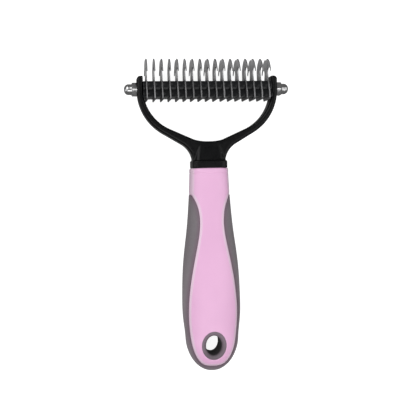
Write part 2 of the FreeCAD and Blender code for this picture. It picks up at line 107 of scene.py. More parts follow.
def baked(piece):
    """The mesh that an object's modifiers make, as a new mesh."""
    graph = bpy.context.evaluated_depsgraph_get()
    return bpy.data.meshes.new_from_object(piece.evaluated_get(graph))


def smooth_step(value, low, high):
    t = np.clip((value - low) / (high - low), 0.0, 1.0)
    return t * t * (3 - 2 * t)


def natural_spline(knots, values):
    """A natural cubic spline through values at knots, as a function."""
    knots, values = np.asarray(knots, float), np.asarray(values, float)
    count = len(knots)
    gaps = np.diff(knots)
    slopes = np.diff(values) / gaps
    system = np.eye(count)
    right = np.zeros(count)
    for k in range(1, count - 1):
        system[k, k - 1 : k + 2] = gaps[k - 1], 2 * (gaps[k - 1] + gaps[k]), gaps[k]
        right[k] = 6 * (slopes[k] - slopes[k - 1])
    bend = np.linalg.solve(system, right)

    def curve(at):
        at = np.clip(at, knots[0], knots[-1])
        k = np.clip(np.searchsorted(knots, at, side="right") - 1, 0, count - 2)
        gap, left, back = gaps[k], at - knots[k], knots[k + 1] - at
        return (
            (bend[k] * back**3 + bend[k + 1] * left**3) / (6 * gap)
            + (values[k] / gap - bend[k] * gap / 6) * back
            + (values[k + 1] / gap - bend[k + 1] * gap / 6) * left
        )

    return curve


# ---------------------------------------------------------------- materials


class Shader:
    """A small builder of one node material round a Principled shader."""

    def __init__(self, name):
        self.material = bpy.data.materials.new(name)
        self.material.use_nodes = True
        self.tree = self.material.node_tree
        self.principled = self.tree.nodes["Principled BSDF"]
        self.place = self.add("ShaderNodeTexCoord").outputs["Object"]

    def add(self, kind, **values):
        node = self.tree.nodes.new(kind)
        for key, value in values.items():
            setattr(node, key, value)
        return node

    def link(self, source, target):
        self.tree.links.new(source, target)

    def stretched(self, scale):
        """The object's own coordinates, scaled along each axis."""
        mapping = self.add("ShaderNodeMapping")
        mapping.inputs["Scale"].default_value = scale
        self.link(self.place, mapping.inputs["Vector"])
        return mapping.outputs["Vector"]

    def noise(self, scale, detail=4.0, roughness=0.55, vector=None):
        node = self.add("ShaderNodeTexNoise")
        node.inputs["Scale"].default_value = scale
        node.inputs["Detail"].default_value = detail
        node.inputs["Roughness"].default_value = roughness
        self.link(vector or self.place, node.inputs["Vector"])
        return node.outputs["Fac"]

    def cells(self, scale):
        node = self.add("ShaderNodeTexVoronoi", feature="SMOOTH_F1")
        node.inputs["Scale"].default_value = scale
        self.link(self.place, node.inputs["Vector"])
        return node.outputs["Distance"]

    def span(self, value, low, high, start=0.3, end=0.7):
        """Maps a value from start..end to low..high."""
        node = self.add("ShaderNodeMapRange")
        for key, number in (("From Min", start), ("From Max", end), ("To Min", low), ("To Max", high)):
            node.inputs[key].default_value = number
        self.link(value, node.inputs["Value"])
        return node.outputs["Result"]

    def combine(self, operation, a, b):
        node = self.add("ShaderNodeMath", operation=operation)
        for socket, value in zip(node.inputs, (a, b)):
            if isinstance(value, (int, float)):
                socket.default_value = value
            else:
                self.link(value, socket)
        return node.outputs["Value"]

    def blend(self, factor, first, second):
        node = self.add("ShaderNodeMix", data_type="RGBA")
        sockets = (node.inputs[0], node.inputs[6], node.inputs[7])
        for socket, value in zip(sockets, (factor, first, second)):
            if isinstance(value, (int, float)):
                socket.default_value = value
            elif isinstance(value, tuple):
                socket.default_value = (*value, 1.0)
            else:
                self.link(value, socket)
        return node.outputs[2]

    def bump(self, height, distance, strength=1.0, normal=None):
        node = self.add("ShaderNodeBump")
        node.inputs["Distance"].default_value = distance
        node.inputs["Strength"].default_value = strength
        self.link(height, node.inputs["Height"])
        if normal is not None:
            self.link(normal, node.inputs["Normal"])
        return node.outputs["Normal"]

    def axis(self, vector, name):
        """One component of a vector."""
        apart = self.add("ShaderNodeSeparateXYZ")
        self.link(vector, apart.inputs["Vector"])
        return apart.outputs[name]

    def painted(self, layer):
        """A value that the mesh carries at its vertices."""
        return self.add("ShaderNodeAttribute", attribute_name=layer).outputs["Fac"]

    def depth(self, full, none):
        """1 at one distance from the middle plane and 0 at a nearer one, in millimetres."""
        away = self.combine("ABSOLUTE", self.combine("SUBTRACT", self.axis(self.place, "Z"), MID_Z), 0.0)
        return self.span(away, 1.0, 0.0, full * MM, none * MM)

    def along(self, start, end):
        """0 below a part-frame y and 1 above another, in millimetres."""
        return self.span(self.axis(self.place, "Y"), 0.0, 1.0, start * MM, end * MM)

    def own(self, low, high):
        """A value that differs from object to object."""
        return self.span(self.add("ShaderNodeObjectInfo").outputs["Random"], low, high, 0.0, 1.0)

    def sideways(self):
        """1 on faces that look along X and 0 on those that don't."""
        normal = self.add("ShaderNodeNewGeometry").outputs["Normal"]
        return self.span(self.combine("ABSOLUTE", self.axis(normal, "X"), 0.0), 0.0, 1.0, 0.55, 0.85)

    def edges(self, start, end):
        """About 1 on a piece's outward edges and 0 elsewhere."""
        point = self.add("ShaderNodeNewGeometry").outputs["Pointiness"]
        return self.span(point, 0.0, 1.0, start, end)

    def set(self, **sockets):
        for key, value in sockets.items():
            socket = self.principled.inputs[key.replace("_", " ")]
            if isinstance(value, (int, float)):
                socket.default_value = value
            elif isinstance(value, tuple):
                socket.default_value = (*value, 1.0)
            else:
                self.link(value, socket)
        return self.material


def pink_plastic():
    """Satin moulded plastic: soft mottling, a fine spark texture, and a paler band painted as a highlight
    along the panel's bevel and the curved upper sides.
    """
    s = Shader("pink_plastic")
    mottled = s.blend(s.span(s.noise(38, 3), 0.0, 1.0), (0.698, 0.396, 0.604), (0.740, 0.427, 0.640))
    specks = s.span(s.noise(2600, 2, 0.5), 0.0, 0.10, 0.62, 0.74)
    coloured = s.blend(specks, mottled, (0.64, 0.33, 0.53))
    # Painted highlight: paler pink on the panel's bevel and on the sides above the grip, from the rim
    # values.
    coloured = s.blend(s.painted("rim"), coloured, (0.705, 0.525, 0.645))
    grain = s.noise(3400, 3, 0.6)
    wave = s.noise(160, 2)
    normal = s.bump(grain, 0.00003, 0.55, s.bump(wave, 0.00012, 0.25))
    return s.set(
        Base_Color=coloured,
        Roughness=s.span(s.noise(420, 4), 0.36, 0.50),
        Specular_IOR_Level=0.42,
        Normal=normal,
    )


# Where the grip's painted shade rises, in part-frame y, in millimetres.
GRIP_SHADE_SPAN = (-47.0, -22.0)


def grey_grip():
    """Soft-touch elastomer: matt, cloudy and leathery, painted darker towards the head as painted shade,
    and a darker purple along the panel's border as painted shade with a painted reflection of the pink.
    """
    s = Shader("grey_grip")
    cloud = s.blend(s.span(s.noise(55, 4), 0.0, 1.0), (0.212, 0.187, 0.202), (0.252, 0.224, 0.242))
    # Painted shade: the grip darkens towards the head over this span of y.
    painted_shade = s.combine("MULTIPLY", s.along(*GRIP_SHADE_SPAN), 0.8)
    cloud = s.blend(painted_shade, cloud, (0.142, 0.128, 0.138))
    dust = s.span(s.noise(900, 5, 0.7), 0.0, 0.35, 0.58, 0.80)
    coloured = s.blend(dust, cloud, (0.31, 0.29, 0.305))
    # Painted shade along the panel's border, tinted purple as a painted reflection of the pink.
    coloured = s.blend(s.painted("rim"), coloured, (0.150, 0.108, 0.136))
    skin = s.combine("ADD", s.cells(1500), s.combine("MULTIPLY", s.noise(3800, 3), 0.5))
    return s.set(
        Base_Color=coloured,
        Roughness=s.span(s.noise(600, 4), 0.62, 0.82),
        Specular_IOR_Level=0.38,
        Sheen_Weight=0.12,
        Sheen_Roughness=0.5,
        Normal=s.bump(skin, 0.00007, 0.5),
    )


def eyelet_rubber():
    """The liner's elastomer: a paler lip, and the bore painted darker towards its middle as painted shade.
    """
    s = Shader("eyelet_rubber")
    cloud = s.blend(s.span(s.noise(120, 4), 0.0, 1.0), (0.165, 0.128, 0.155), (0.215, 0.170, 0.203))
    # Painted shade: the bore darkens towards the middle plane, where the hole is deepest.
    bore_shade = s.blend(s.depth(8.8, 5.6), (0.036, 0.032, 0.035), cloud)
    coloured = s.blend(s.span(s.noise(900, 5, 0.7), 0.0, 0.25, 0.58, 0.80), bore_shade, (0.24, 0.22, 0.235))
    skin = s.combine("ADD", s.cells(1500), s.combine("MULTIPLY", s.noise(3800, 3), 0.5))
    return s.set(
        Base_Color=coloured,
        Roughness=s.span(s.noise(600, 4), 0.60, 0.80),
        Specular_IOR_Level=0.22,
        Normal=s.bump(skin, 0.00007, 0.5),
    )


def black_plastic(name, grain_scale, low, high):
    """Black moulded plastic with spark-eroded grain and faint rub marks."""
    s = Shader(name)
    tone = s.blend(s.span(s.noise(70, 4), 0.0, 1.0), (0.0014, 0.0015, 0.0018), (0.0030, 0.0032, 0.0036))
    rubbed = s.noise(240, 5, 0.65, s.stretched((1.0, 0.18, 1.0)))
    tone = s.blend(s.span(rubbed, 0.0, 0.30, 0.60, 0.80), tone, (0.009, 0.0093, 0.0100))
    tone = s.blend(s.edges(0.52, 0.60), tone, (0.022, 0.023, 0.025))
    grain = s.combine("ADD", s.noise(grain_scale, 3, 0.6), s.combine("MULTIPLY", s.noise(300, 2), 0.6))
    return s.set(
        Base_Color=tone,
        Roughness=s.span(s.noise(500, 5, 0.6), low, high),
        Specular_IOR_Level=0.15,
        Normal=s.bump(grain, 0.00005, 0.45),
    )


# Above this span of y the claws are made brighter by wear; below it the plates and their feet stay dark as
# painted shade.
CLAW_WEAR_AND_SHADE = (72.0, 76.0)


def blade_steel():
    """Stamped stainless sheet: dull sheared edges, claws made brighter by wear, and the plates and their
    feet below the claws kept dark as painted shade.
    """
    s = Shader("blade_steel")
    lines = s.noise(1.0, 4, 0.6, s.stretched((900, 260, 5200)))
    cloud = s.noise(190, 4)
    # Wear and painted shade: bright claw sides above, dark plates and feet below.
    wear_and_shade = s.along(*CLAW_WEAR_AND_SHADE)
    wear_and_shade_sides = s.combine("MULTIPLY", wear_and_shade, s.sideways())
    dull = s.blend(s.span(cloud, 0.0, 1.0), (0.125, 0.125, 0.127), (0.180, 0.180, 0.182))
    dull = s.blend(wear_and_shade, dull, (0.270, 0.270, 0.273))
    bright = s.blend(s.span(cloud, 0.0, 1.0), (0.46, 0.46, 0.465), (0.80, 0.80, 0.805))
    tone = s.blend(wear_and_shade_sides, dull, bright)
    tone = s.blend(s.span(lines, 0.0, 0.30, 0.50, 0.72), tone, (0.60, 0.60, 0.61))
    tone = s.blend(s.own(0.0, 0.22), tone, (0.62, 0.62, 0.63))
    return s.set(
        Base_Color=tone,
        Metallic=s.span(wear_and_shade_sides, 1.0, 0.72, 0.0, 1.0),
        Roughness=s.combine("ADD", s.span(lines, 0.30, 0.46), s.span(wear_and_shade_sides, 0.12, 0.0, 0.0, 1.0)),
        Normal=s.bump(lines, 0.000012, 0.5, s.bump(s.noise(1200, 3), 0.00001, 0.5)),
    )


def nut_chrome():
    """Bright nickel plate with light handling marks."""
    s = Shader("nut_chrome")
    cloud = s.blend(s.span(s.noise(260, 4), 0.0, 1.0), (0.38, 0.38, 0.385), (0.50, 0.50, 0.50))
    marks = s.noise(1.0, 4, 0.7, s.stretched((6000, 900, 900)))
    return s.set(
        Base_Color=s.blend(s.span(marks, 0.0, 0.25, 0.6, 0.8), cloud, (0.42, 0.42, 0.43)),
        Metallic=1.0,
        Roughness=s.span(marks, 0.15, 0.29),
        Normal=s.bump(marks, 0.000006, 0.4),
    )


def rod_steel():
    """Plain bright bar with drawing lines along it."""
    s = Shader("rod_steel")
    lines = s.noise(1.0, 4, 0.6, s.stretched((60, 4200, 4200)))
    return s.set(
        Base_Color=s.blend(lines, (0.38, 0.38, 0.385), (0.56, 0.56, 0.565)),
        Metallic=1.0,
        Roughness=s.span(lines, 0.25, 0.4),
        Normal=s.bump(lines, 0.00001, 0.4),
    )


PINK = pink_plastic()
GREY = grey_grip()
EYELET = eyelet_rubber()
YOKE_BLACK = black_plastic("black_plastic", 2300, 0.25, 0.40)
SPACER_BLACK = black_plastic("spacer_plastic", 3100, 0.18, 0.30)
BLADE = blade_steel()
NUT = nut_chrome()
ROD = rod_steel()


# ---------------------------------------------------------------- the handle form

# y, half width, half depth, squareness of each section above the round end.
HANDLE_STATIONS = (
    (20.0, 14.65, 9.50, 2.30),
    (30.0, 15.70, 10.45, 2.30),
    (42.0, 15.85, 11.00, 2.30),
    (54.0, 15.40, 10.90, 2.35),
    (66.0, 14.25, 10.45, 2.40),
    (78.0, 12.65, 9.90, 2.50),
    (90.0, 11.50, 9.50, 2.70),
    (101.5, 10.70, 9.30, 2.90),
    (110.0, 10.40, 9.20, 3.00),
)
END_LENGTH = 20.0
END_STEPS = 7
PANEL_OUTLINE = (
    (0.0, 3.3),
    (5.6, 4.3),
    (10.05, 9.9),
    (12.6, 19.5),
    (13.45, 35.0),
    (11.45, 53.5),
    (8.55, 68.0),
    (6.65, 82.0),
    (8.1, 91.5),
    (10.5, 96.6),
)
HANDLE_TOP = 111.0
LIP_START = 110.0
LIP_INSET = 0.8
GROOVE_Y = 108.3
GROOVE_DEPTH = 0.14
GROOVE_WIDTH = 0.28
HOLE_Y = 15.1
HOLE_HALF = (4.3, 5.4)
LINER_HALF = (6.75, 7.9)
SKIN = 2.2
SKIN_FACE = 1.1
LEAST_REACH = 0.15
TANG_SOCKET = (6.1, 79.9, 4.3)

# The panel's border: a wide shallow bevel, then a tight roll into the parting line.
BEVEL_WIDTH = 1.5
BEVEL_DROP = 0.26
ROLL_WIDTH = 0.25
PANEL_ROLL = 0.28
GRIP_ROLL_WIDTH = 0.40
GRIP_ROLL = 0.16
SEAM_GAP = 0.04
# How far the grip's painted shade spreads from the panel's border.
SHADE_WIDTH = 2.6
# Where the panel's painted highlight fades on the bevel, and on the sides above the grip.
BEVEL_HIGHLIGHT_FADE = (BEVEL_WIDTH - 0.25, BEVEL_WIDTH + 0.15)
SIDE_HIGHLIGHT_FADE = (0.80, 0.90)
SIDE_HIGHLIGHT_RISE = 3.0
NARROW_GRIP = 1.5
BEYOND_SIDE = 14.0
BEYOND_RISE = 0.15

# How finely the meshes are divided: places are in millimetres, and closer towards an edge.
GRID_SPLIT_Y = 26.0
FLARE_Y = 90.0
ROW_STEP = 0.7
FLARE_ROWS = 18
EDGE_STEPS = (0.0, 0.05, 0.12, 0.25, 0.45, 0.8, 1.15, 1.45, 1.6, 2.1)
LEDGE_STEPS = (0.0, 0.05, 0.12, 0.2, 0.3, 0.5, 0.9, 1.4, 2.0)
HOLE_STEPS = (0.7, 0.45, 0.28, 0.16, 0.08, 0.03, 0.0)
GRIP_STEPS = (0.04, 0.1, 0.18, 0.28, 0.4)
MIDDLE_POINTS = 21
SIDE_STEPS = 22
END_POINTS = 62
GROOVE_REACH = 2.5  # in groove widths
GROOVE_ROWS = 17
NECK_ROWS = 14
LIP_ROWS = 8
FACE_ROWS = 10
BORE_RINGS = 12
GRIP_SECTIONS = 210
GRIP_POINTS = 26
LINER_TURNS = 144
CURVE_POINTS = 700
DENSE_POINTS = 4000
BLOCK_POINTS = 2000
HALVINGS = 40
SLOPE_STEP = 0.02


def handle_sections():
    """Splines of y, half width, half depth and squareness along the handle."""
    rows = []
    _, width, depth, power = HANDLE_STATIONS[0]
    for step in range(END_STEPS):
        turn = math.pi / 2 * step / END_STEPS
        share = math.sin(turn)
        rows.append((END_LENGTH * (1 - math.cos(turn)), width * share, depth * share, power))
    rows += HANDLE_STATIONS
    table = np.array(rows)
    steps = np.hypot(np.diff(table[:, 0]), np.diff(table[:, 1]))
    along = np.concatenate([[0.0], np.cumsum(steps)])
    return along, [natural_spline(along, table[:, column]) for column in range(4)]


ALONG, (SECTION_Y, SECTION_HALF, SECTION_DEEP, SECTION_POWER) = handle_sections()
DENSE = np.linspace(0.0, ALONG[-1], DENSE_POINTS)
DENSE_Y = np.maximum.accumulate(SECTION_Y(DENSE))


def section(y):
    """Half width, half depth and squareness at y, with the lip at the top."""
    y = np.asarray(y, float)
    along = np.interp(y, DENSE_Y, DENSE)
    rise = np.clip((y - LIP_START) / (HANDLE_TOP - LIP_START), 0.0, 1.0)
    inset = LIP_INSET * (1 - np.sqrt(1 - rise**2))
    inset = inset + GROOVE_DEPTH * np.exp(-(((y - GROOVE_Y) / GROOVE_WIDTH) ** 2))
    return SECTION_HALF(along) - inset, SECTION_DEEP(along) - inset, SECTION_POWER(along)


def surface_height(x, y):
    """How far the handle's face stands from the middle plane over a plan point."""
    half, deep, power = section(y)
    share = np.clip(np.abs(x) / np.maximum(half, 1e-6), 0.0, 1.0)
    return deep * (1 - share**power) ** (1 / power)


def surface_normal(x, y, z):
    """The outward direction of the handle's surface at a point on its front."""
    half, deep, power = section(y)
    wider, deeper, _ = section(y + SLOPE_STEP)
    narrower, flatter, _ = section(y - SLOPE_STEP)
    across = (np.abs(x) / half) ** power
    up = (np.abs(z) / deep) ** power
    toward_x = power * across / np.maximum(np.abs(x), 1e-9) * np.sign(x)
    toward_z = power * up / np.maximum(np.abs(z), 1e-9)
    change = across * (wider - narrower) / half + up * (deeper - flatter) / deep
    toward_y = -power * change / (2 * SLOPE_STEP)
    normal = np.stack([toward_x, toward_y, toward_z], axis=-1)
    return normal / np.maximum(np.linalg.norm(normal, axis=-1, keepdims=True), 1e-12)


def panel_curve():
    """The right half of the panel's outline as a dense line, from the end up."""
    mirrored = [(-x, y) for x, y in PANEL_OUTLINE[:0:-1]] + list(PANEL_OUTLINE)
    spots = np.array(mirrored)
    steps = np.hypot(*np.diff(spots, axis=0).T)
    knots = np.concatenate([[0.0], np.cumsum(steps)])
    middle = knots[len(PANEL_OUTLINE) - 1]
    at = np.linspace(middle, knots[-1], CURVE_POINTS)
    return np.stack([natural_spline(knots, spots[:, axis])(at) for axis in range(2)], axis=1)


PANEL = panel_curve()
PANEL[0, 0] = 0.0
PANEL_TOP = PANEL[-1, 1]
BORDER = np.vstack([PANEL, [[BEYOND_SIDE, PANEL_TOP + BEYOND_RISE]]])


def panel_half(y):
    """Half the panel's width at y."""
    return np.interp(y, PANEL[:, 1], PANEL[:, 0])


def border_distance(x, y):
    """Distance in plan to the line where the panel and the grip meet."""
    points = np.stack(np.broadcast_arrays(np.abs(x), y), axis=-1).reshape(-1, 2).astype(float)
    start, run = BORDER[:-1], np.diff(BORDER, axis=0)
    length = (run**2).sum(1)
    best = np.full(len(points), np.inf)
    for block in range(0, len(points), BLOCK_POINTS):
        part = points[block : block + BLOCK_POINTS, None, :] - start[None]
        share = np.clip((part * run[None]).sum(2) / length[None], 0.0, 1.0)
        gap = part - share[..., None] * run[None]
        best[block : block + BLOCK_POINTS] = np.sqrt((gap**2).sum(2)).min(1)
    return best.reshape(np.broadcast_shapes(np.shape(x), np.shape(y)))


def rolled(share):
    """A quarter round: 0 away from an edge, 1 on it."""
    share = np.clip(share, 0.0, 1.0)
    return 1 - np.sqrt(1 - share**2)


def rim_distance(x, y, half):
    """Distance in plan, about, to an oval round the hanging hole."""
    reach = np.hypot(x / half[0], (y - HOLE_Y) / half[1])
    return np.abs(reach - 1) * min(half)


def panel_point(x, y, z):
    """A point of the handle's surface, sunk where the panel's border needs it."""
    gap = border_distance(x, y)
    sink = BEVEL_DROP * np.clip(1 - gap / BEVEL_WIDTH, 0.0, 1.0)
    sink = sink + PANEL_ROLL * rolled(1 - gap / ROLL_WIDTH)
    sink = sink + GRIP_ROLL * rolled(1 - rim_distance(x, y, LINER_HALF) / GRIP_ROLL_WIDTH)
    place = np.stack(np.broadcast_arrays(x, y, z), axis=-1)
    return place - sink[..., None] * surface_normal(x, y, np.maximum(z, 1e-6))


def panel_highlight(x, y):
    """Where the painted highlight falls: 1 on the panel's bevel and on the sides above the grip, and 0
    between them.
    """
    bevel = 1 - smooth_step(border_distance(x, y), *BEVEL_HIGHLIGHT_FADE)
    side = smooth_step(np.abs(x) / section(y)[0], *SIDE_HIGHLIGHT_FADE)
    return np.maximum(bevel, side * smooth_step(y, PANEL_TOP - SIDE_HIGHLIGHT_RISE, PANEL_TOP))


def silhouette(x, y):
    """Where a ray from the border out through the grip leaves the plan outline."""
    if y >= END_LENGTH:
        return np.array([math.copysign(float(section(y)[0]), x), y])
    width = HANDLE_STATIONS[0][1]
    reach = math.hypot(x / width, (END_LENGTH - y) / END_LENGTH)
    return np.array([x / reach, END_LENGTH - (END_LENGTH - y) / reach])


def ray_shares(start, end, levels):
    """Shares of a ray in plan at which the surface has sunk to given levels."""
    top = surface_height(*start)
    low, high = np.zeros(len(levels)), np.ones(len(levels))
    for _ in range(HALVINGS):
        middle = (low + high) / 2
        spots = start[None] + (end - start)[None] * middle[:, None]
        above = surface_height(spots[:, 0], spots[:, 1]) > top * levels
        low, high = np.where(above, middle, low), np.where(above, high, middle)
    return (low + high) / 2


def skin_path(start, end, inset=0.0):
    """The inner face of the grip along one ray, from the front round to the back."""
    width = float(np.hypot(*(end - start)))
    reach = max(width - SKIN, LEAST_REACH * width) - inset
    top = float(surface_height(*start))
    levels = np.cos(np.linspace(0.0, math.pi / 2, SIDE_STEPS // 2 + 1))
    levels[-1] = 0.0
    shares = ray_shares(start, end, levels)
    shares[0], shares[-1] = 0.0, 1.0
    plan = start[None] + (end - start)[None] * (shares * reach / width)[:, None]
    heights = levels * (top - SKIN_FACE - inset)
    front = np.column_stack([plan, heights])
    back = front[-2::-1] * (1, 1, -1)
    return np.vstack([front, back])


def mirrored_in_z(points):
    return np.asarray(points) * (1, 1, -1)


# ---------------------------------------------------------------- handle core


def row_places(y, half):
    """x of the points across the front of the panel at one y."""
    inner = half - EDGE_STEPS[-1]
    middle = np.linspace(inner, -inner, MIDDLE_POINTS)[1:-1]
    edge = half - np.array(EDGE_STEPS)
    return np.concatenate([edge, middle, -edge[::-1]])


def panel_row(y):
    """Front points of the core at one y, from right to left."""
    half = float(panel_half(y))
    if y > PANEL_TOP:
        half = float(section(y)[0] * PANEL[-1, 0] / section(PANEL_TOP)[0])
    x = row_places(y, half)
    return panel_point(x, np.full_like(x, y), surface_height(x, y)), panel_highlight(x, np.full_like(x, y))


def outer_side(y):
    """The core's own side above the grip, from the front round to the back."""
    half, deep, power = (float(value) for value in section(y))
    edge = half * PANEL[-1, 0] / float(section(PANEL_TOP)[0])
    level = float(surface_height(edge, y))
    z = level * np.cos(np.linspace(0.0, math.pi, SIDE_STEPS + 3))
    x = half * (1 - (np.abs(z) / deep) ** power) ** (1 / power)
    front = panel_point(x, np.full_like(x, y), np.abs(z))
    front[:, 2] *= np.where(z < 0, -1, 1)
    return front


def tube_loop(y, on_grip):
    """A closed section of the core, and how strongly each point carries the painted highlight of the bevel
    and the upper sides.
    """
    front, rim = panel_row(y)
    if on_grip:
        start = np.array([panel_half(y), y])
        inner = skin_path(start, silhouette(*start), SEAM_GAP)
        side = np.vstack([front[:1], inner, mirrored_in_z(front[:1])])
    else:
        side = outer_side(y)
    side_highlight = [0.0 if on_grip else 1.0] * (len(side) - 2)
    left = side * (-1, 1, 1)
    loop = [*front[::-1], *side[1:-1], *mirrored_in_z(front), *left[-2:0:-1]]
    rims = [*rim[::-1], *side_highlight, *rim, *side_highlight]
    return loop, rims


def core_tube(bm, layer):
    """The core from above the hanging hole up to its lip, and the tang's socket."""
    low = np.linspace(GRID_SPLIT_Y, FLARE_Y, int((FLARE_Y - GRID_SPLIT_Y) / ROW_STEP))
    flare = np.linspace(FLARE_Y, PANEL_TOP, FLARE_ROWS)[1:]
    ledge = PANEL_TOP + np.array(LEDGE_STEPS)
    groove = GROOVE_Y + GROOVE_WIDTH * np.linspace(-GROOVE_REACH, GROOVE_REACH, GROOVE_ROWS)
    below = np.linspace(ledge[-1], groove[0], NECK_ROWS)[1:]
    neck = np.concatenate([below, groove[1:], [(groove[-1] + LIP_START) / 2, LIP_START]])
    lip = LIP_START + (HANDLE_TOP - LIP_START) * np.sin(np.linspace(0, math.pi / 2, LIP_ROWS))[1:]
    loops = [tube_loop(y, True) for y in (*low, *flare)]
    loops += [tube_loop(y, False) for y in (*ledge, *neck, *lip)]
    rows = [loop for loop, _ in loops]
    rims = [rim for _, rim in loops]
    half_x, bottom, half_z = TANG_SOCKET
    last = np.array(rows[-1])
    across, deep = np.maximum(np.abs(last[:, [0, 2]]), 1e-9).T
    fit = np.minimum(half_x / across, half_z / deep)
    mouth = last * np.column_stack([fit, np.ones_like(fit), fit])
    floor = mouth.copy()
    floor[:, 1] = bottom
    rows += [mouth, floor]
    rims += [[0.0] * len(mouth)] * 2
    made = add_grid(bm, rows, True, layer, rims)
    bm.faces.new(made[-1])


def end_border():
    """Border points round the end, from the split on the right to the left."""
    right = PANEL[PANEL[:, 1] <= GRID_SPLIT_Y]
    steps = np.concatenate([[0.0], np.cumsum(np.hypot(*np.diff(right, axis=0).T))])
    at = np.linspace(0.0, steps[-1], END_POINTS)
    x, y = np.interp(at, steps, right[:, 0]), np.interp(at, steps, right[:, 1])
    x[-1], y[-1] = panel_half(GRID_SPLIT_Y), GRID_SPLIT_Y
    up = np.column_stack([x, y])
    return np.vstack([up[::-1], up[1:] * (-1, 1)])


def core_end(bm, layer):
    """The panel's two faces round the hanging hole, its inner sides and the bore."""
    border = end_border()
    top = row_places(GRID_SPLIT_Y, float(panel_half(GRID_SPLIT_Y)))
    row = np.column_stack([top, np.full_like(top, GRID_SPLIT_Y)])
    outer = np.vstack([border, row[-2:0:-1]])
    centre = np.array([0.0, HOLE_Y])
    reach = np.hypot(outer[:, 0] / LINER_HALF[0], (outer[:, 1] - HOLE_Y) / LINER_HALF[1])
    rim = centre + (outer - centre) / reach[:, None]
    length = np.hypot(*(rim - outer).T)
    near = np.array(EDGE_STEPS)[None] / length[:, None]
    inner = 1 - np.array(HOLE_STEPS)[None] / length[:, None]
    between = near[:, -1:] + (inner[:, :1] - near[:, -1:]) * np.linspace(0, 1, FACE_ROWS)[None, 1:-1]
    shares = np.hstack([near, between, inner])
    rows, rims = [], []
    for column in range(shares.shape[1]):
        plan = outer + (rim - outer) * shares[:, column : column + 1]
        x, y = plan[:, 0], plan[:, 1]
        rows.append(panel_point(x, y, surface_height(x, y)))
        rims.append(panel_highlight(x, y))
    add_grid(bm, rows, True, layer, rims)
    add_grid(bm, [mirrored_in_z(points) for points in rows], True, layer, rims)
    levels = np.linspace(1.0, -1.0, BORE_RINGS)
    add_grid(bm, [rows[-1] * (1, 1, level) for level in levels], True)
    edge = rows[0][: len(border)]
    walls = [skin_path(point, silhouette(*point), SEAM_GAP) for point in border]
    columns = [np.vstack([front, wall, mirrored_in_z(front)]) for front, wall in zip(edge, walls)]
    add_grid(bm, columns)


def handle_core():
    bm = bmesh.new()
    layer = bm.verts.layers.float.new("rim")
    core_tube(bm, layer)
    core_end(bm, layer)
    return finish_piece("handle_shell", bm, PINK, ["handle_core"], 38)


# ---------------------------------------------------------------- grip


def grip_border():
    """Border points from the top right down round the end to the top left."""
    steps = np.concatenate([[0.0], np.cumsum(np.hypot(*np.diff(PANEL, axis=0).T))])
    at = np.linspace(0.0, steps[-1], GRIP_SECTIONS)
    up = np.column_stack([np.interp(at, steps, PANEL[:, 0]), np.interp(at, steps, PANEL[:, 1])])
    return np.vstack([up[::-1], up[1:] * (-1, 1)])


def grip_section(start):
    """A closed section of the grip along one ray out from the border."""
    end = silhouette(*start)
    width = float(np.hypot(*(end - start)))
    levels = np.cos(np.linspace(0.0, math.pi / 2, GRIP_POINTS))
    levels[-1] = 0.0
    shares = ray_shares(start, end, levels)
    shares[0], shares[-1] = 0.0, 1.0
    fine = np.array(GRIP_STEPS) * min(1.0, width / NARROW_GRIP) / width
    shares = np.sort(np.concatenate([shares, fine]))
    plan = start[None] + (end - start)[None] * shares[:, None]
    x, y = plan[:, 0], plan[:, 1]
    z = surface_height(x, y)
    z[-1] = 0.0
    sink = GRIP_ROLL * rolled(1 - border_distance(x, y) / GRIP_ROLL_WIDTH)
    front = np.column_stack([x, y, z])
    touched = sink > 0
    front[touched] -= sink[touched, None] * surface_normal(x[touched], y[touched], z[touched])
    back = mirrored_in_z(front[-2::-1])
    inner = skin_path(start, end)
    # Painted shade: strongest at the panel's border and fading over SHADE_WIDTH.
    shade = 1 - smooth_step(border_distance(x, y), 0.0, SHADE_WIDTH)
    rims = [*shade, *shade[-2::-1], *[0.0] * len(inner)]
    return np.vstack([front, back, inner[::-1]]), rims


def grip():
    """The soft grip: one strip down each side of the handle, joined round its end."""
    bm = bmesh.new()
    layer = bm.verts.layers.float.new("rim")
    sections = [grip_section(point) for point in grip_border()]
    rows, rims = zip(*sections)
    made = add_grid(bm, rows, True, layer, rims)
    for loop in (made[0], made[-1]):
        bm.faces.new(loop)
    return finish_piece("soft_grip", bm, GREY, ["grip_overmould"], 38)


# ---------------------------------------------------------------- hanging hole

LINER_FIT = 0.03
LINER_SINK = 0.08
LINER_EDGE = 0.25
LINER_LIP = 2.1
LINER_WAIST = 0.12
LINER_LIP_ROWS = 13
LINER_BORE_ROWS = 9


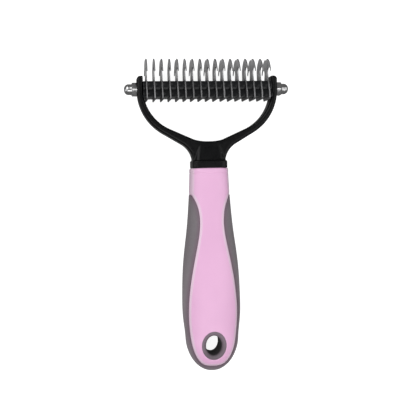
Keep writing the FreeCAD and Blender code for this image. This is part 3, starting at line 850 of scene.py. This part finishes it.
def hole_liner():
    """The oval eyelet: a soft round lip on each face and a slightly waisted bore."""
    turns = np.linspace(0.0, 2 * math.pi, LINER_TURNS + 1)[:-1]
    outer = [half - LINER_FIT for half in LINER_HALF]
    edge_x, edge_y = outer[0] * np.cos(turns), HOLE_Y + outer[1] * np.sin(turns)
    edge_z = surface_height(edge_x, edge_y) - LINER_SINK
    rows = [np.column_stack([edge_x, edge_y, edge_z - LINER_EDGE])]
    for turn in np.linspace(0.0, math.pi / 2, LINER_LIP_ROWS):
        half = [out - (out - clear) * math.sin(turn) for out, clear in zip(outer, HOLE_HALF)]
        x, y = half[0] * np.cos(turns), HOLE_Y + half[1] * np.sin(turns)
        z = surface_height(x, y) - LINER_SINK - LINER_LIP * (1 - math.cos(turn))
        rows.append(np.column_stack([x, y, z]))
    wall = rows[-1]
    for level in np.linspace(1.0, 0.0, LINER_BORE_ROWS)[1:]:
        shrink = 1 - LINER_WAIST * (1 - level**2) / HOLE_HALF[0]
        plan = (wall[:, :2] - (0.0, HOLE_Y)) * shrink + (0.0, HOLE_Y)
        rows.append(np.column_stack([plan, wall[:, 2] * level]))
    rows += [mirrored_in_z(row) for row in rows[-2::-1]]
    bm = bmesh.new()
    add_grid(bm, [*rows, rows[0]], True)
    return finish_piece("hole_liner", bm, EYELET, ["hang_hole_liner"], 50)


# ---------------------------------------------------------------- moulded yoke

YOKE_VOXEL = 0.30
YOKE_SMOOTHING = 6
YOKE_SMOOTH_SHARE = 0.5


def moulded_yoke():
    """The yoke with the soft blends of a moulding where neck, arms and collar meet."""
    mesh = NODES["yoke_frame"].data.copy()
    mesh.transform(Matrix.Scale(1 / MM, 4))
    block = bpy.data.objects.new("yoke_block", mesh)
    bpy.context.scene.collection.objects.link(block)
    remesh = block.modifiers.new("Remesh", "REMESH")
    remesh.mode = "VOXEL"
    remesh.voxel_size = YOKE_VOXEL
    smooth = block.modifiers.new("Smooth", "SMOOTH")
    smooth.factor = YOKE_SMOOTH_SHARE
    smooth.iterations = YOKE_SMOOTHING
    bpy.context.view_layer.update()
    result = baked(block)
    bpy.data.objects.remove(block)
    bm = bmesh.new()
    bm.from_mesh(result)
    for vert in bm.verts:
        vert.co *= MM
    return finish_piece("yoke", bm, YOKE_BLACK, ["yoke_frame"], 60)


# ---------------------------------------------------------------- bevelled pieces

FLAT_DEGREES = 0.5
CORNER_DEGREES = 40
BEVEL_SEGMENTS = 2
BLADE_BEVEL = 0.14
NUT_BEVEL = 0.12
SPACER_BEVEL = 0.16


def bevelled(node, name, material, width, shape=None):
    """A CAD node's form with its corners eased, as a piece that stands for it."""
    bm = bmesh.new()
    bm.from_mesh(NODES[node].data)
    bmesh.ops.remove_doubles(bm, verts=bm.verts, dist=WELD)
    flat = math.radians(FLAT_DEGREES)
    bmesh.ops.dissolve_limit(bm, angle_limit=flat, verts=bm.verts, edges=bm.edges)
    mesh = bpy.data.meshes.new(name + "_block")
    bm.to_mesh(mesh)
    bm.free()
    block = bpy.data.objects.new(name + "_block", mesh)
    bpy.context.scene.collection.objects.link(block)
    bevel = block.modifiers.new("Bevel", "BEVEL")
    bevel.width = width * MM
    bevel.segments = BEVEL_SEGMENTS
    bevel.limit_method = "ANGLE"
    bevel.angle_limit = math.radians(CORNER_DEGREES)
    bpy.context.view_layer.update()
    result = baked(block)
    bpy.data.objects.remove(block)
    bm = bmesh.new()
    bm.from_mesh(result)
    if shape:
        for vert in bm.verts:
            shape(vert)
    return finish_piece(name, bm, material, [node], 32)


CLAW_START_Y = 159.0
CLAW_THINNING = 0.35
THINNING_REACH = (5.0, 11.0)


def ground_claws(middle_x):
    """Thins a blade towards the tips of its claws."""

    def shape(vert):
        out = abs(vert.co.z - MID_Z) / MM
        thin = 1 - CLAW_THINNING * float(smooth_step(out, *THINNING_REACH))
        above = (vert.co.y - END_Y) / MM
        if above > CLAW_START_Y:
            vert.co.x = middle_x + (vert.co.x - middle_x) * thin

    return shape


def make_head():
    """The blades, the nuts and the spacers, one piece for each node."""
    for node in NODES:
        low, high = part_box(node)
        if node.startswith("blade_"):
            shape = ground_claws((low.x + high.x) / 2)
            number = node.split("_")[1]
            bevelled(node, f"claw_blade_{number}", BLADE, BLADE_BEVEL, shape)
        elif node.startswith("dome_nut"):
            name = node.replace("dome_nut", "cap_nut")
            bevelled(node, name, NUT, NUT_BEVEL)
        elif "spacer" in node:
            bevelled(node, node + "_block", SPACER_BLACK, SPACER_BEVEL)


# ---------------------------------------------------------------- stage

CAMERA_PLACE = Vector((-0.06287, 0.02206, 0.42865))
CAMERA_VIEW = Vector((0.1384, -0.0320, -1.0))
CAMERA_UP = Vector((0.0202, 1.0, 0.0))
SENSOR = 36.0
LENS = 69.60
FLOOR_HALF = 90.0
FLOOR_GAP = 0.1 * MM
FLOOR_GREY = (0.42, 0.42, 0.42)
FLOOR_GLOW = 0.88
WORLD_LIGHT = 0.22
WORLD_SEEN = 0.97  # above the floor's end, in low views, as bright as the floor

# Name, place, width and height in metres, and power in watts.
LIGHTS = (
    ("key", (-0.55, 0.50, 0.66), (0.80, 0.80), 5.6),
    ("fill", (0.65, 0.05, 0.60), (0.80, 1.0), 3.6),
    ("front", (-0.05, -0.40, 0.88), (1.0, 0.45), 4.1),
    ("side", (-0.80, -0.05, 0.20), (0.35, 0.80), 1.3),
)


def make_camera():
    """The photograph's viewpoint, fitted to the rake's outline."""
    camera = bpy.data.objects.new("camera", bpy.data.cameras.new("camera"))
    camera.data.sensor_width = SENSOR
    camera.data.lens = LENS
    camera.data.clip_start = 0.01
    back = -CAMERA_VIEW.normalized()
    right = CAMERA_UP.cross(back).normalized()
    up = back.cross(right)
    camera.matrix_world = Matrix.Translation(CAMERA_PLACE) @ Matrix((right, up, back)).transposed().to_4x4()
    bpy.context.scene.collection.objects.link(camera)
    bpy.context.scene.camera = camera


def area_light(name, place, size, power):
    """A soft white rectangle of light that faces the rake."""
    data = bpy.data.lights.new(name, "AREA")
    data.shape = "RECTANGLE"
    data.size, data.size_y = size
    data.energy = power
    light = bpy.data.objects.new(name, data)
    light.location = place
    light.rotation_euler = (-Vector(place)).to_track_quat("-Z", "Y").to_euler()
    bpy.context.scene.collection.objects.link(light)


def make_floor():
    """A pale floor that shows white and sends no light back to the rake."""
    s = Shader("pale_floor")
    s.set(Base_Color=FLOOR_GREY, Roughness=0.8, Specular_IOR_Level=0.1)
    s.set(Emission_Color=(1.0, 1.0, 1.0), Emission_Strength=FLOOR_GLOW)
    bm = bmesh.new()
    for x, y in ((-1, -1), (1, -1), (1, 1), (-1, 1)):
        bm.verts.new((x * FLOOR_HALF, y * FLOOR_HALF, -FLOOR_GAP))
    bm.faces.new(bm.verts)
    mesh = bpy.data.meshes.new("floor")
    bm.to_mesh(mesh)
    bm.free()
    floor = bpy.data.objects.new("floor", mesh)
    mesh.materials.append(s.material)
    bpy.context.scene.collection.objects.link(floor)
    floor.visible_diffuse = False
    floor.visible_glossy = False


def make_world():
    """Faint even light from all round, which the camera sees as bright as the floor."""
    world = bpy.data.worlds.new("studio")
    world.use_nodes = True
    background = world.node_tree.nodes["Background"]
    background.inputs["Color"].default_value = (1.0, 1.0, 1.0, 1.0)
    rays = world.node_tree.nodes.new("ShaderNodeLightPath")
    strength = world.node_tree.nodes.new("ShaderNodeMapRange")
    strength.inputs["To Min"].default_value = WORLD_LIGHT
    strength.inputs["To Max"].default_value = WORLD_SEEN
    world.node_tree.links.new(rays.outputs["Is Camera Ray"], strength.inputs["Value"])
    world.node_tree.links.new(strength.outputs["Result"], background.inputs["Strength"])
    bpy.context.scene.world = world


handle_core()
grip()
hole_liner()
moulded_yoke()
make_head()
NODES["tie_rod"].material_slots[0].material = ROD
make_camera()
make_floor()
make_world()
for light in LIGHTS:
    area_light(*light)
bpy.context.scene.view_settings.view_transform = "Standard"
